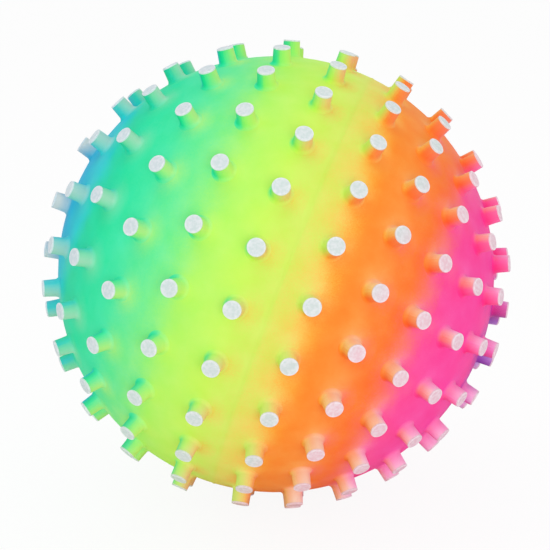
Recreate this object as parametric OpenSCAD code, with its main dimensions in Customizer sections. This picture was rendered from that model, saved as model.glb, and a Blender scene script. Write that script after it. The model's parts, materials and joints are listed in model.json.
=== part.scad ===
// Soft inflatable sensory ball. One hollow skin carries rows of short solid knobs, every knob
// has a white printed end, and a push-in stopper closes the air valve at the blue pole.
// Millimetres. The origin is the ball's centre and +Z is up as the ball stands on its knobs.

/* [Ball] */
// Distance from the ball's centre to the flat ends of the knobs
knob_end_r = 90; // [60:0.5:130]
// Outside radius of the skin between the knobs
skin_r = 83.8; // [54:0.1:122]
// Thickness of the skin
wall = 1.8; // [1.2:0.1:4]
// Height of the fine line left where the two mould halves meet
seam_height = 0.15; // [0.05:0.05:0.4]
// Width of that line
seam_width = 0.6; // [0.3:0.1:1.2]

/* [Knob] */
// Diameter of a knob at its flat end
knob_d = 6.2; // [4:0.1:9]
// How much wider a knob is at its foot, so that it leaves the mould
knob_draft = 0.4; // [0:0.1:1.5]
// Radius of the hollow round the foot of a knob
foot_r = 1.7; // [0.5:0.1:3]
// Depth of the white ink on a knob's end, which also covers the end's edge
ink_depth = 0.6; // [0.3:0.1:1]
// Rounding of that edge
edge_r = 0.25; // [0.1:0.05:0.5]

/* [Rows] */
// Latitude of the mould line, in degrees from the middle towards the pink pole
seam_latitude = 5.3; // [0:0.1:8]
// Angle from the mould line to the first row on either side
seam_gap = 7.6; // [6.5:0.1:9]
// Angle from one row to the next on the blue half
blue_step = 14.3; // [12:0.1:15]
// Angle from one row to the next on the pink half
pink_step = 12.75; // [12:0.05:13]
// Knobs in the row next to the mould line, the same on both halves
row_1_knobs = 26; // [16:1:28]
// Knobs in the second row
row_2_knobs = 24; // [16:1:26]
// Knobs in the third row
row_3_knobs = 21; // [14:1:24]
// Knobs in the fourth row
row_4_knobs = 17; // [12:1:19]
// Knobs in the fifth row of the blue half
blue_5_knobs = 13; // [8:1:14]
// Knobs in the fifth row of the pink half
pink_5_knobs = 12; // [8:1:13]
// Knobs in the sixth row, the last one before the poles
row_6_knobs = 6; // [3:1:7]

/* [Turn of the rows] */
// First knob of blue row 1, in degrees round the ball
blue_1_turn = 10.2; // [0:0.1:13.8]
// First knob of blue row 2
blue_2_turn = 11.4; // [0:0.1:15]
// First knob of blue row 3
blue_3_turn = 2.2; // [0:0.1:17.1]
// First knob of blue row 4
blue_4_turn = 18.4; // [0:0.1:21.1]
// First knob of blue row 5
blue_5_turn = 25.9; // [0:0.1:27.6]
// First knob of blue row 6
blue_6_turn = 9.9; // [0:0.1:60]
// First knob of pink row 1
pink_1_turn = 3.7; // [0:0.1:13.8]
// First knob of pink row 2
pink_2_turn = 10.3; // [0:0.1:15]
// First knob of pink row 3
pink_3_turn = 14.2; // [0:0.1:17.1]
// First knob of pink row 4
pink_4_turn = 20; // [0:0.1:21.1]
// First knob of pink row 5
pink_5_turn = 26.3; // [0:0.1:30]
// First knob of pink row 6
pink_6_turn = 50.9; // [0:0.1:60]

/* [Standing] */
// Latitude of the point of the ball that faces the floor
down_latitude = 19.55; // [-90:0.01:90]
// Angle of that point round the ball, measured like the turn of the rows
down_turn = 107.81; // [0:0.01:360]
// Turn of the standing ball about the upright axis
spin = -9.54; // [-180:0.01:180]

/* [Air valve] */
// Outside diameter of the moulded-in valve tube
valve_d = 9; // [7:0.1:12]
// Diameter of the air hole in the valve tube
valve_bore_d = 4.4; // [3:0.1:6]
// Length of the valve tube inside the ball
valve_length = 12; // [8:0.5:20]
// Diameter of the valve flange inside the ball
flange_d = 18; // [14:0.5:24]
// Thickness of the valve flange
flange_t = 1.4; // [1:0.1:2.5]
// Diameter of the stopper's head
head_d = 11; // [9:0.1:16]
// Depth of the recess that the stopper's head lies in
recess_depth = 1.2; // [0.8:0.1:2]
// Clearance between the stopper's stem and the air hole, each side
stem_gap = 0.05; // [0.01:0.01:0.1]

/* [Hidden] */
$fn = 48;
knob_r = knob_d / 2;
flank_r = knob_r + knob_draft / 2;
ink_z = knob_end_r - ink_depth;
// The foot's edge lies just below the skin's surface, so that the two always meet
foot_edge_r = flank_r + foot_r;
foot_z = sqrt(skin_r * skin_r - foot_edge_r * foot_edge_r) - 0.08;
fillet_z = foot_z + foot_r;
knob_floor = skin_r - wall / 2;
// The stopper's head lies in a recess, level with the skin
recess_r = head_d / 2 + 0.3;
recess_z = sqrt(skin_r * skin_r - recess_r * recess_r) - recess_depth;
// The valve flange is bonded to a flat pad inside the skin
pad_r = flange_d / 2 + 1.5;
pad_z = skin_r - wall - 2;
plug_z = recess_z + 0.05;
stem_r = valve_bore_d / 2 - stem_gap;
stem_length = valve_length + 1;

skin_color = [0.20, 0.78, 0.60];
dot_color = [0.93, 0.91, 0.96];
valve_color = [0.90, 0.92, 0.95];
plug_color = [0.16, 0.62, 0.85];

// Latitude of a row, counted from the mould line towards its pole
function blue_latitude(row) = seam_latitude - seam_gap - blue_step * (row - 1);
function pink_latitude(row) = seam_latitude + seam_gap + pink_step * (row - 1);

// Lays the ball down, so that the chosen point of it faces the floor
module stand() {
    rotate([0, 0, spin])
        rotate([0, 90 + down_latitude, 0])
            rotate([0, 0, -down_turn])
                children();
}

// Repeats a piece that is drawn along +Z from the ball's centre, once for each knob of a row
module in_row(latitude, knobs, turn) {
    for (i = [0 : knobs - 1])
        rotate([0, 90 - latitude, turn + 360 / knobs * i])
            children();
}

// Puts a piece that is drawn along +Z at the blue pole
module at_valve() {
    rotate([180, 0, 0])
        children();
}

module blue_1() {
    in_row(blue_latitude(1), row_1_knobs, blue_1_turn)
        children();
}

module blue_2() {
    in_row(blue_latitude(2), row_2_knobs, blue_2_turn)
        children();
}

module blue_3() {
    in_row(blue_latitude(3), row_3_knobs, blue_3_turn)
        children();
}

module blue_4() {
    in_row(blue_latitude(4), row_4_knobs, blue_4_turn)
        children();
}

module blue_5() {
    in_row(blue_latitude(5), blue_5_knobs, blue_5_turn)
        children();
}

module blue_6() {
    in_row(blue_latitude(6), row_6_knobs, blue_6_turn)
        children();
}

module pink_1() {
    in_row(pink_latitude(1), row_1_knobs, pink_1_turn)
        children();
}

module pink_2() {
    in_row(pink_latitude(2), row_2_knobs, pink_2_turn)
        children();
}

module pink_3() {
    in_row(pink_latitude(3), row_3_knobs, pink_3_turn)
        children();
}

module pink_4() {
    in_row(pink_latitude(4), row_4_knobs, pink_4_turn)
        children();
}

module pink_5() {
    in_row(pink_latitude(5), pink_5_knobs, pink_5_turn)
        children();
}

module pink_6() {
    in_row(pink_latitude(6), row_6_knobs, pink_6_turn)
        children();
}

// Half section of a knob with its hollow foot, up to the white ink
module knob_section() {
    difference() {
        union() {
            polygon([
                [0, knob_floor],
                [flank_r, knob_floor],
                [flank_r, fillet_z],
                [knob_r, ink_z],
                [0, ink_z]
            ]);
            translate([0, knob_floor])
                square([foot_edge_r, fillet_z - knob_floor]);
        }
        translate([foot_edge_r, fillet_z])
            circle(foot_r);
    }
}

module knob() {
    rotate_extrude()
        knob_section();
}

// Half section of the white end, with its edge rounded
module dot_section() {
    translate([0, ink_z]) {
        square([knob_r - edge_r, ink_depth]);
        square([knob_r, ink_depth - edge_r]);
        translate([knob_r - edge_r, ink_depth - edge_r])
            circle(edge_r);
    }
}

module dot() {
    rotate_extrude()
        dot_section();
}

module all_knobs() {
    blue_1() knob();
    blue_2() knob();
    blue_3() knob();
    blue_4() knob();
    blue_5() knob();
    blue_6() knob();
    pink_1() knob();
    pink_2() knob();
    pink_3() knob();
    pink_4() knob();
    pink_5() knob();
    pink_6() knob();
    knob();
}

module seam() {
    rotate_extrude()
        rotate(seam_latitude)
            translate([skin_r - wall / 2, -seam_width / 2])
                square([wall / 2 + seam_height, seam_width]);
}

module valve_pad() {
    at_valve()
        translate([0, 0, pad_z])
            cylinder(r = pad_r, h = skin_r - wall / 2 - pad_z);
}

module valve_opening() {
    at_valve() {
        translate([0, 0, pad_z - 1])
            cylinder(r = valve_d / 2 + 0.02, h = 10);
        translate([0, 0, recess_z])
            cylinder(r = recess_r, h = 5);
        translate([recess_r, 0, recess_z])
            cylinder(r = 2, h = 5);
    }
}

// Hollow casting: wall, knobs, mould line and valve pad are one piece of soft plastic
module skin() {
    color(skin_color)
        stand()
            difference() {
                union() {
                    difference() {
                        sphere(r = skin_r);
                        sphere(r = skin_r - wall);
                    }
                    all_knobs();
                    seam();
                    valve_pad();
                }
                valve_opening();
            }
}

module valve_seat() {
    color(valve_color)
        stand()
            at_valve()
                difference() {
                    union() {
                        translate([0, 0, pad_z - flange_t])
                            cylinder(r = flange_d / 2, h = flange_t);
                        translate([0, 0, pad_z - valve_length])
                            cylinder(r = valve_d / 2, h = recess_z - pad_z + valve_length);
                    }
                    translate([0, 0, pad_z - valve_length - 1])
                        cylinder(r = valve_bore_d / 2, h = 30);
                }
}

module valve_plug() {
    color(plug_color)
        stand()
            at_valve()
                union() {
                    intersection() {
                        translate([0, 0, plug_z])
                            cylinder(r = head_d / 2, h = 5);
                        sphere(r = skin_r - 0.05, $fn = 240);
                    }
                    translate([0, 0, plug_z - stem_length])
                        cylinder(r = stem_r, h = stem_length + 0.5);
                    translate([0, 0, plug_z - stem_length - 2])
                        cylinder(r1 = stem_r - 0.7, r2 = stem_r, h = 2);
                }
}

module dots_blue_1() {
    color(dot_color)
        stand()
            blue_1()
                dot();
}

module dots_blue_2() {
    color(dot_color)
        stand()
            blue_2()
                dot();
}

module dots_blue_3() {
    color(dot_color)
        stand()
            blue_3()
                dot();
}

module dots_blue_4() {
    color(dot_color)
        stand()
            blue_4()
                dot();
}

module dots_blue_5() {
    color(dot_color)
        stand()
            blue_5()
                dot();
}

module dots_blue_6() {
    color(dot_color)
        stand()
            blue_6()
                dot();
}

module dots_pink_1() {
    color(dot_color)
        stand()
            pink_1()
                dot();
}

module dots_pink_2() {
    color(dot_color)
        stand()
            pink_2()
                dot();
}

module dots_pink_3() {
    color(dot_color)
        stand()
            pink_3()
                dot();
}

module dots_pink_4() {
    color(dot_color)
        stand()
            pink_4()
                dot();
}

module dots_pink_5() {
    color(dot_color)
        stand()
            pink_5()
                dot();
}

module dots_pink_6() {
    color(dot_color)
        stand()
            pink_6()
                dot();
}

module dot_pink_pole() {
    color(dot_color)
        stand()
            dot();
}

skin();
valve_seat();
valve_plug();
dots_blue_1();
dots_blue_2();
dots_blue_3();
dots_blue_4();
dots_blue_5();
dots_blue_6();
dots_pink_1();
dots_pink_2();
dots_pink_3();
dots_pink_4();
dots_pink_5();
dots_pink_6();
dot_pink_pole();
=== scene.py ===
# %% [markdown]
# # A soft, knobbly rainbow ball
#
# The real thing is a hollow ball of soft PVC, about as big as a small melon. Its skin and its
# knobs are one casting, sprayed with bright paint while the ball turns, and the flat end of every
# knob is then inked white. The shape comes ready from the CAD model. This lesson gives it light,
# a camera and finishes: most of the work is to paint the ball the way the factory does.

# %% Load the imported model
import json
import math

import bpy
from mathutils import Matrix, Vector


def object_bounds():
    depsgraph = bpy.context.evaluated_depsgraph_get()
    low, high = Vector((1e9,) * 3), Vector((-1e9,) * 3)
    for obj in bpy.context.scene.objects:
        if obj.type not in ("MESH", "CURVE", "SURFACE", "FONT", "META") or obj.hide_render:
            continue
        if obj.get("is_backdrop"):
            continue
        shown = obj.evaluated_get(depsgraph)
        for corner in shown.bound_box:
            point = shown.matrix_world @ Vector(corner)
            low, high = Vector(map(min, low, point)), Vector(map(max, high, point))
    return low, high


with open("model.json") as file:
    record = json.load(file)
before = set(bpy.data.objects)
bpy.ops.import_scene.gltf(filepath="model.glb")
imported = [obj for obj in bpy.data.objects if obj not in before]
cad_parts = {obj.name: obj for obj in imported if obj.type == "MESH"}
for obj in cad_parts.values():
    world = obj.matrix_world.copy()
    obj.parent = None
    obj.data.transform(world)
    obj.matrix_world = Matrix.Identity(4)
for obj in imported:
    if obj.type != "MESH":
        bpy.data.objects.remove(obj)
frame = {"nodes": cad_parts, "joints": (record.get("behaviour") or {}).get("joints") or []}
nodes = frame["nodes"]
cad_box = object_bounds()
print("nodes:", sorted(nodes))
print("size of the CAD model, mm:", [round(v * 1000, 1) for v in cad_box[1] - cad_box[0]])

# %% [markdown]
# ## What the frame tells us
#
# The origin is the ball's centre. The stopper slides out along the line through both poles, so its
# joint gives that line: it points to the blue pole, and the other way is the pink pole.
#
# The colour bands don't run quite along the rows of knobs: they cross them at three degrees. The
# ball sits on the turntable of the spray booth a little askew, so the paint follows the
# turntable's axis instead of its own.

# %% The axis of the paint, and two sizes
ASKEW = Vector((0, 0.053, -0.023))

blue_pole = Vector(frame["joints"][0]["axis"]).normalized()
pink_pole = -blue_pole
spray_axis = (pink_pole + ASKEW).normalized()
tip_radius = max(v.co.length for v in nodes["dot_pink_pole"].data.vertices)
floor_z = cad_box[0].z
print("axis of the paint:", [round(v, 3) for v in spray_axis],
      " askew, degrees:", round(math.degrees(spray_axis.angle(pink_pole)), 1))
print("centre to knob ends, mm:", round(tip_radius * 1000, 2),
      " floor, mm:", round(floor_z * 1000, 2))

# %% [markdown]
# ## The camera
#
# The photograph is a product shot from a little above, with a lens that shows hardly any
# perspective. The rows of knobs give the distance: the nearer knobs look only a little further
# apart than the far ones, which fits a camera five and a half ball radii away. It looks almost
# straight at the centre, so no shift is needed; the small offset is a turn of the camera.

# %% Camera
IMAGE_PIXELS = 550
FOCAL_PIXELS = 1269.7
SENSOR_MM = 36
CAMERA_DISTANCE = 0.495
CAMERA_ELEVATION = math.radians(15.5)
CENTRE_RIGHT_PIXELS = 1.1
CENTRE_UP_PIXELS = 0.8

camera_data = bpy.data.cameras.new("camera")
camera_data.sensor_width = SENSOR_MM
camera_data.lens = FOCAL_PIXELS / IMAGE_PIXELS * SENSOR_MM
camera_data.clip_start = 0.01
camera_data.clip_end = 50
camera = bpy.data.objects.new("camera", camera_data)
bpy.context.scene.collection.objects.link(camera)
bpy.context.scene.camera = camera

towards_camera = Vector((0, -math.cos(CAMERA_ELEVATION), math.sin(CAMERA_ELEVATION)))
camera_right = Vector((1, 0, 0))
camera_up = towards_camera.cross(camera_right)
pixel = CAMERA_DISTANCE / FOCAL_PIXELS
target = -(camera_right * CENTRE_RIGHT_PIXELS + camera_up * CENTRE_UP_PIXELS) * pixel
camera.location = towards_camera * CAMERA_DISTANCE
camera.rotation_mode = "QUATERNION"
camera.rotation_quaternion = (target - camera.location).to_track_quat("-Z", "Y")
bpy.context.scene.view_settings.view_transform = "Standard"
print("lens, mm:", round(camera_data.lens, 1))

# %% [markdown]
# ## Helpers
#
# Shaders count in linear light, while a colour picked from a picture is sRGB, so one function
# turns a hex value into linear. Another adds a shader node: it takes the node's own settings by
# name and the inputs as a dictionary, where an input may be a number, a colour, a node or one of
# a node's outputs. The output node comes last and is added in the same way, with the finished
# shader as its input. The other two begin a material and put it on.

# %% Colour and node helpers
def linear(hex_colour):
    """sRGB hex to linear RGBA."""
    channels = [int(hex_colour[i:i + 2], 16) / 255 for i in (1, 3, 5)]
    light = [c / 12.92 if c <= 0.04045 else ((c + 0.055) / 1.055) ** 2.4 for c in channels]
    return (*light, 1.0)


def add(tree, kind, inputs=None, **settings):
    """Adds a node, gives it its settings and fills or links its inputs."""
    node = tree.nodes.new("ShaderNode" + kind)
    for name, value in settings.items():
        setattr(node, name, value)
    for name, value in (inputs or {}).items():
        if isinstance(value, bpy.types.Node):
            value = value.outputs[0]
        if isinstance(value, bpy.types.NodeSocket):
            tree.links.new(value, node.inputs[name])
        else:
            node.inputs[name].default_value = value
    return node


print("orange as the shader sees it:", [round(v, 3) for v in linear("#FD8C36")])


# %% Material helpers
def new_material(name):
    """A material whose tree is still empty."""
    material = bpy.data.materials.new(name)
    material.use_nodes = True
    material.node_tree.nodes.clear()
    return material, material.node_tree


def put_on(material, *names):
    """Gives the whole surface of one CAD node or more a finish."""
    for name in names:
        mesh = nodes[name].data
        mesh.materials.clear()
        mesh.materials.append(material)


print("CAD nodes to finish:", len(nodes))

# %% [markdown]
# ## Light and ground
#
# The ball stands in a white studio, where light comes from nearly everywhere: there is hardly a
# shadow on it. A white world gives that even part. The camera and every reflection see it as pure
# white, and as a light it is a little weaker. A large lamp behind the camera, low enough to reach
# under the ball, and a faint one over it do the rest. The ground is a white sheet; what the
# camera sees of it is mixed with plain white, so that it looks like the paper of the photograph
# and still keeps the ball's shadow.

# %% World
WORLD_LIGHT = 0.77

world = bpy.data.worlds.new("white_studio")
bpy.context.scene.world = world
world.use_nodes = True
tree = world.node_tree
tree.nodes.clear()
rays = add(tree, "LightPath")
seen = rays.outputs["Is Camera Ray"]
for kind in ("Is Glossy Ray", "Is Transmission Ray"):
    seen = add(tree, "Math", {0: seen, 1: rays.outputs[kind]}, operation="MAXIMUM")
strength = add(tree, "MapRange", {"Value": seen, "To Min": WORLD_LIGHT, "To Max": 1.0})
background = add(tree, "Background", {"Color": (1, 1, 1, 1), "Strength": strength})
add(tree, "OutputWorld", {"Surface": background})
print("world light:", WORLD_LIGHT)


# %% Lamps
def lamp(name, place, size, watts):
    """A square lamp that looks at the ball's centre."""
    data = bpy.data.lights.new(name, "AREA")
    data.size = size
    data.energy = watts
    light = bpy.data.objects.new(name, data)
    light.location = place
    light.rotation_mode = "QUATERNION"
    light.rotation_quaternion = (-Vector(place)).to_track_quat("-Z", "Y")
    bpy.context.scene.collection.objects.link(light)


lamp("front_lamp", place=(0.25, -1.5, 0.1), size=0.9, watts=8.1)
lamp("top_lamp", place=(-0.2, -0.1, 1.3), size=0.9, watts=2.4)
print("lamps:", [light.name for light in bpy.data.lights])

# %% Floor
SHEET_WHITE = "#FBFBFB"
PLAIN_WHITE_SHARE = 0.92
FLOOR_RADIUS = 8.0
FLOOR_SIDES = 64

paper, tree = new_material("white_paper")
seen = add(tree, "LightPath").outputs["Is Camera Ray"]
sheet = add(tree, "BsdfDiffuse", {"Color": linear(SHEET_WHITE)})
plain_white = add(tree, "Emission", {"Color": (1, 1, 1, 1), "Strength": 1.0})
share = add(tree, "Math", {0: seen, 1: PLAIN_WHITE_SHARE}, operation="MULTIPLY")
mixed = add(tree, "MixShader", {0: share, 1: sheet, 2: plain_white})
add(tree, "OutputMaterial", {"Surface": mixed})

floor_mesh = bpy.data.meshes.new("floor")
angles = [2 * math.pi * i / FLOOR_SIDES for i in range(FLOOR_SIDES)]
corners = [(math.cos(a) * FLOOR_RADIUS, math.sin(a) * FLOOR_RADIUS, floor_z) for a in angles]
floor_mesh.from_pydata(corners, [], [range(FLOOR_SIDES)])
floor_mesh.materials.append(paper)
floor = bpy.data.objects.new("floor", floor_mesh)
bpy.context.scene.collection.objects.link(floor)
floor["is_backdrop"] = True
print("floor at", round(floor_z * 1000, 2), "mm, radius", FLOOR_RADIUS, "m")

# %% [markdown]
# ## The sprayed paint
#
# The ball turns about the axis of the turntable, and a row of guns sprays a colour each: blue at
# one pole, then green, yellow, orange and pink, and purple at the other. Where two fans of spray
# overlap, the colours run into each other. So the paint depends first of all on one number, the
# latitude, as on a globe. A picture wrapped round the ball could show it too, but it would pinch
# at the poles and smear down the knobs. A colour ramp over the latitude has no seams and is as
# sharp as the render needs.
#
# Everything that follows is told by latitude, so the ramp gets a helper of its own. It takes
# colours for the paint, and plain numbers for how much a knob's side differs from the skin. A
# ramp holds only what lies between black and white, so numbers are stored round middle grey.

# %% Latitude and ramps along it
BANDS = {
    -90: "#1E96D6", -70: "#00B5DA", -60: "#0AD2D3", -54: "#00DAA4", -46: "#00E5A3", -36: "#3CE9A6",
    -26: "#6CED93", -16: "#B2F468", -6: "#CAF35E", 2: "#D3E964", 9: "#F1CC5D", 13: "#F9A233",
    16: "#F98A2B", 25: "#F88E3A", 33: "#F96E28", 37: "#F87474", 41: "#FA4A97", 48: "#FA479D",
    62: "#FD42A0", 72: "#FC409F", 77: "#E0409E", 81: "#BC3E9E", 90: "#8E3EB0",
}


def globe_nodes(tree):
    """Place, facing, the way straight out of the ball, and latitude in degrees."""
    point = add(tree, "TexCoord")
    place, facing = point.outputs["Object"], point.outputs["Normal"]
    outward = add(tree, "VectorMath", {0: place}, operation="NORMALIZE")
    along = add(tree, "VectorMath", {0: outward, 1: spray_axis}, operation="DOT_PRODUCT")
    angle = add(tree, "Math", {0: along.outputs["Value"]}, operation="ARCSINE")
    latitude = add(tree, "Math", {0: angle}, operation="DEGREES")
    return place, facing, outward, latitude


def by_latitude(tree, latitude, stops, most=None):
    """A ramp from pole to pole, of hex colours or of numbers from minus most to most."""
    position = add(tree, "MapRange", {"Value": latitude, "From Min": -90, "From Max": 90})
    ramp = add(tree, "ValToRGB", {0: position})
    marks = ramp.color_ramp.elements
    while len(marks) < len(stops):
        marks.new(0.5)
    # Places first and colours after, because the marks may change order while they move.
    for mark, degrees in zip(marks, sorted(stops)):
        mark.position = (degrees + 90) / 180
    for mark, degrees in zip(marks, sorted(stops)):
        value = stops[degrees]
        mark.color = linear(value) if most is None else (0.5 + 0.5 * value / most,) * 3 + (1,)
    if most is None:
        return ramp
    return add(tree, "MapRange", {"Value": ramp, "To Min": -most, "To Max": most})


print(len(BANDS), "colour stops from pole to pole")

# %% [markdown]
# ## How a knob takes the paint
#
# A knob stands up in the spray, and its sides don't look like the skin round it. A side that faces
# the blue pole is in the fan of the next gun that way, so it takes the colour of a place further
# over there, and in the orange it takes it thickly. Behind the knob lies a spray shadow: on its
# other side, and on the skin just past its foot, the coat is thin, the pale vinyl shows through,
# and what paint there is came from the guns nearer to the pink pole. Those guns cast shadows the
# other way. The pink half was sprayed from below as well, so there the upper sides of the knobs
# stay pale. Towards its end a knob is mostly paler than at its foot.
#
# The direction that the surface faces tells half of this: on plain skin it faces straight out,
# and on a knob's side it leans to one of four ways. A spray shadow also needs to know what
# stands in the way. An ambient occlusion node that looks towards the gun, instead of straight
# out, measures just that, about a knob's length far. A side that faces neither pole hides half of
# both guns by itself, and that half isn't counted as shadow.
#
# The mould line is so low that the spray closes round it. It takes none of these rules, or else
# it would be drawn in another colour.

# %% Lean of the surface
def way_nodes(tree, outward):
    """The ways along the skin to the pink pole, and round the ball."""
    round_way = add(tree, "VectorMath", {0: outward, 1: spray_axis}, operation="CROSS_PRODUCT")
    round_way = add(tree, "VectorMath", {0: round_way}, operation="NORMALIZE")
    pink_way = add(tree, "VectorMath", {0: round_way, 1: outward}, operation="CROSS_PRODUCT")
    return pink_way, round_way


def lean_nodes(tree, facing, pink_way, round_way):
    """How far the surface faces the pink pole, the blue pole, up and down, each from 0 to 1."""
    leans = []
    for way in (pink_way, round_way):
        lean = add(tree, "VectorMath", {0: facing, 1: way}, operation="DOT_PRODUCT")
        for side in (1, -1):
            leans.append(add(tree, "Math", {0: lean.outputs["Value"], 1: side},
                             operation="MULTIPLY", use_clamp=True))
    return leans


# %% Spray shadows
GUN_SLANT = math.radians(58)
SHADOW_REACH = 0.007
SHADOW_SAMPLES = 4
# What the node reads on open skin at that slant, and the part of it that is lost behind a knob.
OPEN_SKIN = 0.863
SHADED_SIDE = 0.8


def hidden_from(tree, outward, way, sign):
    """0 where a gun that lies that way reaches the skin, 1 on the far side of a knob."""
    slant = (sign * math.tan(GUN_SLANT),) * 3
    gun_way = add(tree, "VectorMath", {0: way, 1: slant, 2: outward}, operation="MULTIPLY_ADD")
    gun_way = add(tree, "VectorMath", {0: gun_way}, operation="NORMALIZE")
    reached = add(tree, "AmbientOcclusion", {"Distance": SHADOW_REACH, "Normal": gun_way},
                  samples=SHADOW_SAMPLES, only_local=True)
    return add(tree, "MapRange", {"Value": reached.outputs["AO"], "From Min": OPEN_SKIN,
                                  "From Max": OPEN_SKIN * (1 - SHADED_SIDE)})


def less_own_half(tree, hidden, sideways):
    """A spray shadow without the half that a sideways face hides by itself."""
    return add(tree, "Math", {0: sideways, 1: -0.5, 2: hidden},
               operation="MULTIPLY_ADD", use_clamp=True)


print("spray shadow reaches, mm:", SHADOW_REACH * 1000)

# %% Height on a knob, and the mould line
KNOB_FOOT = 0.0840
KNOB_END = 0.0895
SEAM_LATITUDE = math.radians(5.3)
# Both of these are shares of the ball's radius.
SEAM_HALF_WIDTH = 0.0040
SEAM_MARGIN = 0.022


def height_on_knob(tree, place):
    """0 at a knob's foot, 1 at its end."""
    radius = add(tree, "VectorMath", {0: place}, operation="LENGTH").outputs["Value"]
    return add(tree, "MapRange", {"Value": radius, "From Min": KNOB_FOOT, "From Max": KNOB_END})


def away_from_seam(tree, outward):
    """0 on the mould line, 1 everywhere else."""
    along = add(tree, "VectorMath", {0: outward, 1: pink_pole}, operation="DOT_PRODUCT")
    offset = add(tree, "Math", {0: along.outputs["Value"], 1: math.sin(SEAM_LATITUDE)},
                 operation="SUBTRACT")
    offset = add(tree, "Math", {0: offset}, operation="ABSOLUTE")
    return add(tree, "MapRange", {"Value": offset, "From Min": SEAM_HALF_WIDTH,
                                  "From Max": SEAM_HALF_WIDTH + SEAM_MARGIN})


print("height that the rules count as a knob, mm:", round((KNOB_END - KNOB_FOOT) * 1000, 1))

# %% [markdown]
# ## Sprayed soft PVC
#
# The material is rotomoulded PVC, soft and slightly waxy, under a coat of vinyl paint. The mould
# was sand-blasted, which leaves a satin sheen and a skin texture under a millimetre across, and
# the casting is never quite round, so the sheen swims a little over a few centimetres. The spray
# lands as fine drops: seen close, the bands are made of specks, and their borders waver. Drops
# and texture are finer than a pixel, so both are drawn a few times as coarse as they are.
#
# First comes the latitude whose colour a point takes: its own, moved by its lean and by the
# spray shadow, wavered and speckled.

# %% Sprayed vinyl: how far the colours move
BORDER_WAVER = {-60: 4.2, -30: 2.8, -10: 2.1, 12: 1.0, 26: 1.6}
WAVER_MM = 18.0
SPECK_SHIFT = 0.9
SPECK_MM = 0.45
MOST_DEGREES = 40
SHIFT_HID_FROM_BLUE = {-60: 5, -45: 17, -30: 22, -15: 11, 0: 17, 40: 9, 60: 16}
SHIFT_HID_FROM_PINK = {13: -5, 26: 13, 40: -13, 60: 22}
SHIFT_HID_FROM_BELOW = {-45: -4, -15: 0, 13: -9, 26: 1, 60: -3}
SHIFT_FACING_BLUE = {-45: 4, -30: -37, 13: -3, 26: -22, 40: 2, 60: -32, 76: -6}
SHIFT_SIDEWAYS = {-60: 3, -45: -11, -30: 2, -15: -5, 0: 10, 13: 1}

print("borders waver by up to, degrees:", max(BORDER_WAVER.values()), " specks, mm:", SPECK_MM)

# %% Sprayed vinyl: what each point knows
vinyl, tree = new_material("sprayed_rotomoulded_pvc")
place, facing, outward, latitude = globe_nodes(tree)
pink_way, round_way = way_nodes(tree, outward)
faces_pink, faces_blue, faces_up, faces_down = lean_nodes(tree, facing, pink_way, round_way)
sideways = add(tree, "Math", {0: faces_up, 1: faces_down}, operation="ADD")
from_blue = less_own_half(tree, hidden_from(tree, outward, pink_way, -1), sideways)
from_pink = less_own_half(tree, hidden_from(tree, outward, pink_way, 1), sideways)
from_below = hidden_from(tree, outward, round_way, -1)
height = height_on_knob(tree, place)
off_seam = away_from_seam(tree, outward)
print("nodes so far:", len(tree.nodes))


# %% Sprayed vinyl: which colour lands where
def per_metre(millimetres):
    """Noise scale for a pattern of a given size."""
    return 1000 / millimetres


def total(tree, most, *rules):
    """Each rule's amount times what its latitude gives, all added up; nothing on the seam."""
    result = 0.0
    for amount, stops in rules:
        rule = by_latitude(tree, latitude, stops, most)
        result = add(tree, "Math", {0: amount, 1: rule, 2: result}, operation="MULTIPLY_ADD")
    return add(tree, "Math", {0: result, 1: off_seam}, operation="MULTIPLY")


slow = add(tree, "TexNoise", {"Vector": place, "Scale": per_metre(WAVER_MM), "Detail": 4})
slow = add(tree, "MapRange", {"Value": slow, "To Min": -1, "To Max": 1})
waver = by_latitude(tree, latitude, BORDER_WAVER, MOST_DEGREES)
waver = add(tree, "Math", {0: slow, 1: waver}, operation="MULTIPLY")
drops = add(tree, "TexNoise", {"Vector": place, "Scale": per_metre(SPECK_MM), "Detail": 1})
specks = add(tree, "MapRange", {"Value": drops, "From Min": 0.25, "From Max": 0.75,
                                "To Min": -SPECK_SHIFT, "To Max": SPECK_SHIFT})
shift = total(tree, MOST_DEGREES,
              (from_blue, SHIFT_HID_FROM_BLUE), (from_pink, SHIFT_HID_FROM_PINK),
              (from_below, SHIFT_HID_FROM_BELOW), (faces_blue, SHIFT_FACING_BLUE),
              (sideways, SHIFT_SIDEWAYS))
taken = latitude
for part in (shift, waver, specks):
    taken = add(tree, "Math", {0: taken, 1: part}, operation="ADD")
paint = by_latitude(tree, taken, BANDS)
print("nodes so far:", len(tree.nodes))
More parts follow.
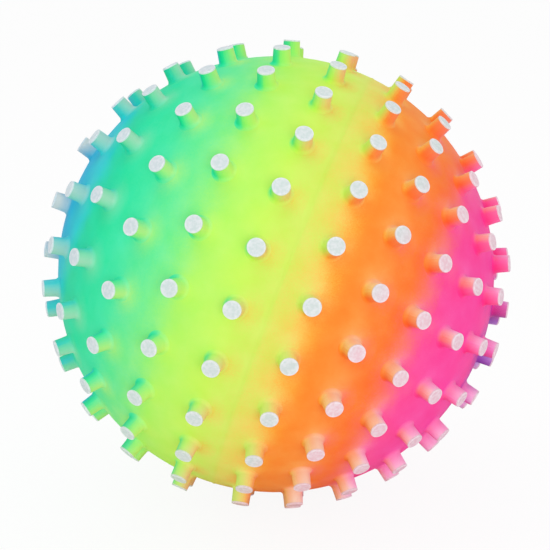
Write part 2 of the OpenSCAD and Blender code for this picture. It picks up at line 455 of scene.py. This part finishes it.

# %% [markdown]
# Then comes the thickness of the coat. Where it is thick the colour is deeper, which a gamma node
# does: it leaves a full channel as it is and lowers the others. On the sides of the knobs that face
# down, the same deepening is painted shade, not a thicker coat. A thin coat is a mix towards the
# bare vinyl, which looks greyer in the green half: partly a mist from the other guns drifted over
# it, partly painted shade on the knob sides that get less light. How much of either a side gets
# changes from pole to pole.

# %% Sprayed vinyl: thick and thin coats, and painted shade
# Greyer in the green half: partly a mist from the other guns, partly painted shade on the knob
# sides that get less light.
BARE_VINYL_AND_SHADE = {-70: "#D6DCDA", -40: "#D9D3D8", 10: "#F0EAEF"}
CLOUD_MM = 7.0
CLOUD_DEPTH = 0.08
DEEP_HID_FROM_BELOW = {0: -0.06, 26: -0.58, 60: -0.26}
DEEP_FACING_BLUE = {13: 0.02, 26: 0.2, 60: -0.14}
# Sides that face down are drawn deeper: painted shade under the knobs, not a thicker coat.
PAINTED_SHADE_FACING_DOWN = {-60: -0.1, 26: 0.33, 60: 0.5}
DEEP_UP_THE_KNOB = {0: 0.21, 40: -0.39}
BARE_HID_FROM_BLUE = {-70: 0.06, -45: 0.36, -15: 0}
BARE_FACING_PINK = {-60: 0.42, -30: 0.07}
BARE_FACING_UP = {0: 0.06, 13: 0.01, 26: 0.38, 40: 0.13}
BARE_UP_THE_KNOB = {-75: 0.76, -60: 0.03, -30: 0, 0: 0.23, 13: 0.03, 26: 0.12, 60: 0.16, 76: 0.08}

clouds = add(tree, "TexNoise", {"Vector": place, "Scale": per_metre(CLOUD_MM), "Detail": 3})
clouds = add(tree, "MapRange", {"Value": clouds, "From Min": 0.25, "From Max": 0.75,
                                "To Min": 1 - CLOUD_DEPTH, "To Max": 1 + CLOUD_DEPTH})
# This deepening adds up the thicker coats and the painted shade on the down-facing sides.
deep_coat_and_shade = total(tree, 1,
             (from_below, DEEP_HID_FROM_BELOW), (faces_blue, DEEP_FACING_BLUE),
             (faces_down, PAINTED_SHADE_FACING_DOWN), (height, DEEP_UP_THE_KNOB))
thin_coat_and_shade = total(tree, 1,
             (from_blue, BARE_HID_FROM_BLUE), (faces_pink, BARE_FACING_PINK),
             (faces_up, BARE_FACING_UP), (height, BARE_UP_THE_KNOB))
depth_and_shade = add(tree, "Math", {0: clouds, 1: deep_coat_and_shade}, operation="ADD")
deep_and_shaded_paint = add(tree, "Gamma", {"Color": paint, "Gamma": depth_and_shade})
# The colours of a mix node are its inputs 6 and 7 and its output 2.
bare_vinyl_and_shade = by_latitude(tree, latitude, BARE_VINYL_AND_SHADE)
coat_with_painted_shade = add(tree, "Mix", {0: thin_coat_and_shade, 6: deep_and_shaded_paint, 7: bare_vinyl_and_shade}, data_type="RGBA").outputs[2]
print("bare vinyl at the ends of the last blue row:", max(BARE_UP_THE_KNOB.values()))

# %% Sprayed vinyl: surface
SOFT_PVC_IOR = 1.53
UNEVEN_MM = 25.0
UNEVEN_DEPTH = 0.0006
GRAIN_MM = 0.7
GRAIN_DEPTH = 0.00006

uneven = add(tree, "TexNoise", {"Vector": place, "Scale": per_metre(UNEVEN_MM), "Detail": 2})
grain = add(tree, "TexNoise", {"Vector": place, "Scale": per_metre(GRAIN_MM), "Detail": 2})
satin = add(tree, "MapRange", {"Value": uneven, "From Min": 0.3, "From Max": 0.7,
                               "To Min": 0.50, "To Max": 0.62})
soft_bump = add(tree, "Bump", {"Height": uneven, "Strength": 0.35, "Distance": UNEVEN_DEPTH})
fine_bump = add(tree, "Bump", {"Height": grain, "Strength": 0.25, "Distance": GRAIN_DEPTH,
                               "Normal": soft_bump})
surface = add(tree, "BsdfPrincipled", {
    "Base Color": coat_with_painted_shade, "Roughness": satin, "Normal": fine_bump,
    "IOR": SOFT_PVC_IOR, "Specular IOR Level": 0.1,
    "Subsurface Weight": 0.12, "Subsurface Radius": (1.0, 0.9, 0.8), "Subsurface Scale": 0.0008,
})
add(tree, "OutputMaterial", {"Surface": surface})
put_on(vinyl, "skin")
print("sprayed vinyl has", len(tree.nodes), "nodes")

# %% [markdown]
# ## White ink on the knob ends
#
# The ends are inked by rolling the ball over a white pad. The pad presses the ink outwards, so it
# is thicker in a rim at the edge, and inside it is thinner and mottled. The rim is drawn whiter
# still: partly that thicker ink, partly a painted highlight where the edge catches the light. It
# doesn't quite hide the paint: over blue and green it looks cool, over orange and pink rosy, and
# rather more so low on the ball than high up. It is a little glossier than the paint.
#
# How far a point lies from the axis of its own knob is wanted for the rim. The end of a knob is
# flat and faces straight out, so that distance is the length of the cross product of place and
# facing, for every knob at once.

# %% White ink: where it is thick, and the painted highlight on its rim
RIM_STARTS = 0.0021
RIM_FULL = 0.0029
RIM_SHARE = 0.25
BLOTCH_MM = 1.1
BLOTCH_SHARE = 0.4

ink, tree = new_material("rolled_white_vinyl_ink")
place, facing, outward, latitude = globe_nodes(tree)
aside = add(tree, "VectorMath", {0: place, 1: facing}, operation="CROSS_PRODUCT")
from_axis = add(tree, "VectorMath", {0: aside}, operation="LENGTH").outputs["Value"]
rim = add(tree, "MapRange", {"Value": from_axis, "From Min": RIM_STARTS, "From Max": RIM_FULL},
          interpolation_type="SMOOTHSTEP")
blotch = add(tree, "TexNoise", {"Vector": place, "Scale": per_metre(BLOTCH_MM), "Detail": 3})
blotch = add(tree, "MapRange", {"Value": blotch, "From Min": 0.4, "From Max": 0.65,
                                "To Max": BLOTCH_SHARE})
# The rim's share is partly thicker ink and partly a painted highlight on the edge of the end.
thick_ink_and_highlight = add(tree, "Math", {0: rim, 1: RIM_SHARE, 2: blotch}, operation="MULTIPLY_ADD")
print("rim of ink, mm:", round((RIM_FULL - RIM_STARTS) * 1000, 1), " blotches, mm:", BLOTCH_MM)

# %% White ink: tint and surface
INK_TINTS = {-60: "#C8DAE0", -45: "#CBD7DC", -17: "#CCDAD8",
             16: "#CCD4D3", 23: "#E6C2CB", 60: "#E1BDCB"}
COOLER_UPWARDS = 12
THICK_INK_AND_HIGHLIGHT = "#F2F0F5"
PRESS_MM = 0.6
PRESS_DEPTH = 0.00008

upward = add(tree, "SeparateXYZ", {0: outward}).outputs["Z"]
tint_at = add(tree, "Math", {0: upward, 1: -COOLER_UPWARDS, 2: latitude}, operation="MULTIPLY_ADD")
thin_ink = by_latitude(tree, tint_at, INK_TINTS)
white = add(tree, "Mix", {0: thick_ink_and_highlight, 6: thin_ink, 7: linear(THICK_INK_AND_HIGHLIGHT)}, data_type="RGBA").outputs[2]
pressed = add(tree, "TexNoise", {"Vector": place, "Scale": per_metre(PRESS_MM), "Detail": 2})
press_bump = add(tree, "Bump", {"Height": pressed, "Strength": 0.3, "Distance": PRESS_DEPTH})
surface = add(tree, "BsdfPrincipled", {
    "Base Color": white, "Roughness": 0.45, "Normal": press_bump,
    "IOR": 1.5, "Specular IOR Level": 0.3,
    "Subsurface Weight": 0.1, "Subsurface Radius": (1.0, 1.0, 1.0), "Subsurface Scale": 0.0006,
})
add(tree, "OutputMaterial", {"Surface": surface})
dots = [name for name in nodes if name.startswith("dot")]
put_on(ink, *dots)
print("inked", len(dots), "rows of knob ends")

# %% [markdown]
# ## The air valve
#
# The valve tube is cast from clear-white PVC and the stopper from blue PVC that is dyed right
# through, so neither carries paint. Both are moulded in polished steel: smoother and glossier
# than the skin.

# %% Valve and stopper
FLOW_MM = 4.0
FLOW_DEPTH = 0.0002
POLISHED = 0.3


def dyed_pvc(name, colour, deeper):
    """Injection-moulded soft PVC, dyed through: smooth, with faint flow marks."""
    material, tree = new_material(name)
    place = add(tree, "TexCoord").outputs["Object"]
    flow = add(tree, "TexNoise", {"Vector": place, "Scale": per_metre(FLOW_MM), "Detail": 2})
    tint = add(tree, "Mix", {0: flow, 6: linear(colour), 7: linear(deeper)}, data_type="RGBA")
    bump = add(tree, "Bump", {"Height": flow, "Strength": 0.2, "Distance": FLOW_DEPTH})
    surface = add(tree, "BsdfPrincipled", {
        "Base Color": tint.outputs[2], "Roughness": POLISHED, "Normal": bump, "IOR": SOFT_PVC_IOR,
        "Subsurface Weight": 0.2, "Subsurface Radius": (1.0, 1.0, 1.0), "Subsurface Scale": 0.001,
    })
    add(tree, "OutputMaterial", {"Surface": surface})
    return material


put_on(dyed_pvc("moulded_clear_pvc", "#DDE3EA", "#CFD8E2"), "valve_seat")
put_on(dyed_pvc("moulded_blue_pvc", "#2A8FD0", "#2382C4"), "valve_plug")
print("materials:", sorted(material.name for material in bpy.data.materials))

# %% [markdown]
# ## Closing
#
# The sizes of the CAD model and of the dressed one are written down side by side, so that a
# finish that grew the ball would show at once.

# %% Sizes and finish
dressed_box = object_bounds()
dressed_size = dressed_box[1] - dressed_box[0]
print("size of the dressed model, mm:", [round(v * 1000, 1) for v in dressed_size])
